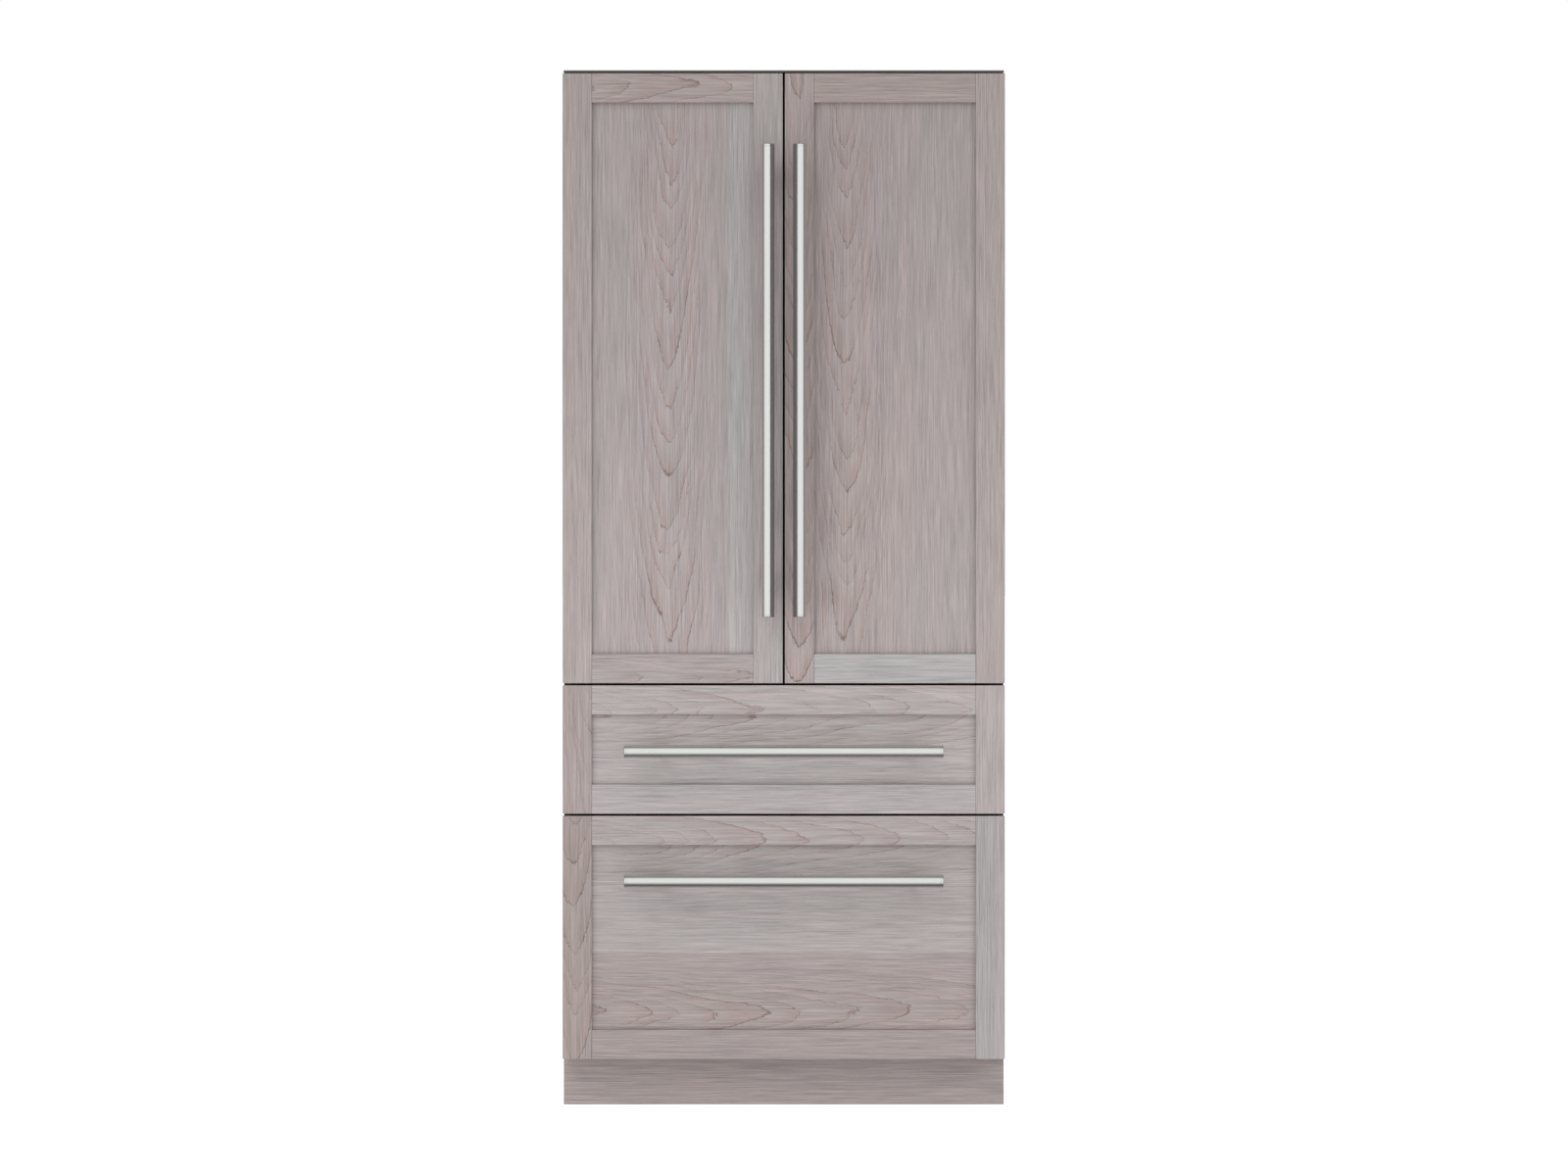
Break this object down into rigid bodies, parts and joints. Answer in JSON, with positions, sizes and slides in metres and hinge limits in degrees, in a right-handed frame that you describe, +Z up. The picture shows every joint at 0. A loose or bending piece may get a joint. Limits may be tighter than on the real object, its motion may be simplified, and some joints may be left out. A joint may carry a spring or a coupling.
{
  "type": "built-in refrigerator with freezer drawer",
  "caption": "Tall built-in refrigerator with a pair of panelled doors over panelled drawers, bar handles, toe kick, and a working chilled interior behind them.",
  "frame": {"origin": "on the floor, under the middle of the bounding box", "axes": "+Z up, -Y out of the fronts towards the user, +X to the right as the user faces the fronts"},
  "size_m": [0.91, 0.6947, 2.134],
  "materials": {
    "case_steel": "satin grey coated sheet",
    "foam": "rigid cellular foam",
    "liner_plastic": "smooth white vacuum-formed plastic",
    "face_steel": "satin coated sheet",
    "header_trim": "dark satin coating",
    "base_steel": "dark coated sheet",
    "kick_wood": "grey-washed veneer, satin",
    "foot_rubber": "matte black",
    "compressor_black": "gloss black enamel",
    "condenser_steel": "matte black coated tube and fins",
    "motor_plastic": "matte dark moulded plastic",
    "fan_plastic": "matte light moulded plastic",
    "coil_aluminium": "mill finish",
    "track_metal": "satin anodised",
    "shelf_trim": "satin light grey moulded plastic",
    "shelf_glass": "clear toughened glass",
    "hinge_steel": "zinc-plated satin",
    "slide_steel": "zinc-plated satin",
    "light_lens": "frosted lens",
    "control_plastic": "dark gloss moulded plastic",
    "clear_plastic": "clear moulded plastic",
    "front_wood": "grey-washed wood, satin lacquer",
    "handle_steel": "satin stainless tube",
    "door_steel": "satin coated sheet",
    "seal_rubber": "soft grey extruded seal",
    "bin_plastic": "satin translucent moulded plastic"
  },
  "bodies": {
    "cabinet": {"outer_case": "case_steel", "rear_panels": "case_steel", "insulation": "foam", "fridge_liner": "liner_plastic", "drawer_liners": "liner_plastic", "face_frame": "face_steel", "centre_mullion": "face_steel", "header_trim": "header_trim", "base_frame": "base_steel", "toe_kick": "kick_wood", "levelling_feet": "foot_rubber", "compressor": "compressor_black", "condenser": "condenser_steel", "fan_motors": "motor_plastic", "evaporators": "coil_aluminium", "duct_covers": "liner_plastic", "shelf_supports": "track_metal", "shelf_frames": "shelf_trim", "shelf_glass": "shelf_glass", "door_hinges": "hinge_steel", "drawer_slides": "slide_steel", "light_bars": "light_lens", "control_panel": "control_plastic"},
    "left_door": {"left_door_front": "front_wood", "left_door_handle": "handle_steel", "left_door_shell": "door_steel", "left_door_foam": "foam", "left_door_liner": "liner_plastic", "left_door_gasket": "seal_rubber", "left_door_bins": "clear_plastic"},
    "right_door": {"right_door_front": "front_wood", "right_door_handle": "handle_steel", "right_door_shell": "door_steel", "right_door_foam": "foam", "right_door_liner": "liner_plastic", "right_door_gasket": "seal_rubber", "right_door_bins": "clear_plastic"},
    "middle_drawer": {"middle_drawer_front": "front_wood", "middle_drawer_handle": "handle_steel", "middle_drawer_shell": "door_steel", "middle_drawer_foam": "foam", "middle_drawer_gasket": "seal_rubber", "middle_drawer_bin": "bin_plastic", "middle_drawer_runners": "slide_steel"},
    "middle_links": {"middle_drawer_links": "slide_steel"},
    "freezer_drawer": {"freezer_drawer_front": "front_wood", "freezer_drawer_handle": "handle_steel", "freezer_drawer_shell": "door_steel", "freezer_drawer_foam": "foam", "freezer_drawer_gasket": "seal_rubber", "freezer_drawer_bin": "bin_plastic", "freezer_drawer_runners": "slide_steel"},
    "freezer_links": {"freezer_drawer_links": "slide_steel"},
    "freezer_tray": {"freezer_tray": "bin_plastic"},
    "left_crisper": {"left_crisper": "clear_plastic"},
    "right_crisper": {"right_crisper": "clear_plastic"},
    "condenser_fan": {"condenser_fan": "fan_plastic"},
    "fridge_fan": {"fridge_fan": "fan_plastic"},
    "freezer_fan": {"freezer_fan": "fan_plastic"},
    "rear_rollers": {"rear_rollers": "foot_rubber"}
  },
  "joints": [
    {"name": "left_door_swing", "type": "hinge", "parent": "cabinet", "child": "left_door", "pos_m": [-0.43, -0.25065, 1.5], "axis": [0, 0, -1], "range_deg": [0, 110]},
    {"name": "right_door_swing", "type": "hinge", "parent": "cabinet", "child": "right_door", "pos_m": [0.43, -0.25065, 1.5], "axis": [0, 0, 1], "range_deg": [0, 110]},
    {"name": "middle_drawer_slide", "type": "slide", "parent": "cabinet", "child": "middle_drawer", "axis": [0, -1, 0], "range_m": [0, 0.4]},
    {"name": "middle_links_slide", "type": "slide", "parent": "cabinet", "child": "middle_links", "axis": [0, -1, 0], "range_m": [0, 0.2]},
    {"name": "freezer_drawer_slide", "type": "slide", "parent": "cabinet", "child": "freezer_drawer", "axis": [0, -1, 0], "range_m": [0, 0.3]},
    {"name": "freezer_links_slide", "type": "slide", "parent": "cabinet", "child": "freezer_links", "axis": [0, -1, 0], "range_m": [0, 0.15]},
    {"name": "freezer_tray_slide", "type": "slide", "parent": "freezer_drawer", "child": "freezer_tray", "axis": [0, 1, 0], "range_m": [0, 0.12]},
    {"name": "left_crisper_slide", "type": "slide", "parent": "cabinet", "child": "left_crisper", "axis": [0, -1, 0], "range_m": [0, 0.1]},
    {"name": "right_crisper_slide", "type": "slide", "parent": "cabinet", "child": "right_crisper", "axis": [0, -1, 0], "range_m": [0, 0.1]},
    {"name": "condenser_fan_spin", "type": "hinge", "parent": "cabinet", "child": "condenser_fan", "pos_m": [0.02, 0.26485, 0.102], "axis": [1, 0, 0], "continuous": true},
    {"name": "fridge_fan_spin", "type": "hinge", "parent": "cabinet", "child": "fridge_fan", "pos_m": [0, 0.28085, 1.30775], "axis": [0, 1, 0], "continuous": true},
    {"name": "freezer_fan_spin", "type": "hinge", "parent": "cabinet", "child": "freezer_fan", "pos_m": [0, 0.23285, 0.51825], "axis": [0, 1, 0], "continuous": true},
    {"name": "rear_roller_spin", "type": "hinge", "parent": "cabinet", "child": "rear_rollers", "pos_m": [0, 0.28735, 0.022], "axis": [1, 0, 0], "continuous": true}
  ],
  "couplings": [
    {"joint": "middle_links_slide", "follows": "middle_drawer_slide", "ratio": 0.5},
    {"joint": "freezer_links_slide", "follows": "freezer_drawer_slide", "ratio": 0.5}
  ]
}
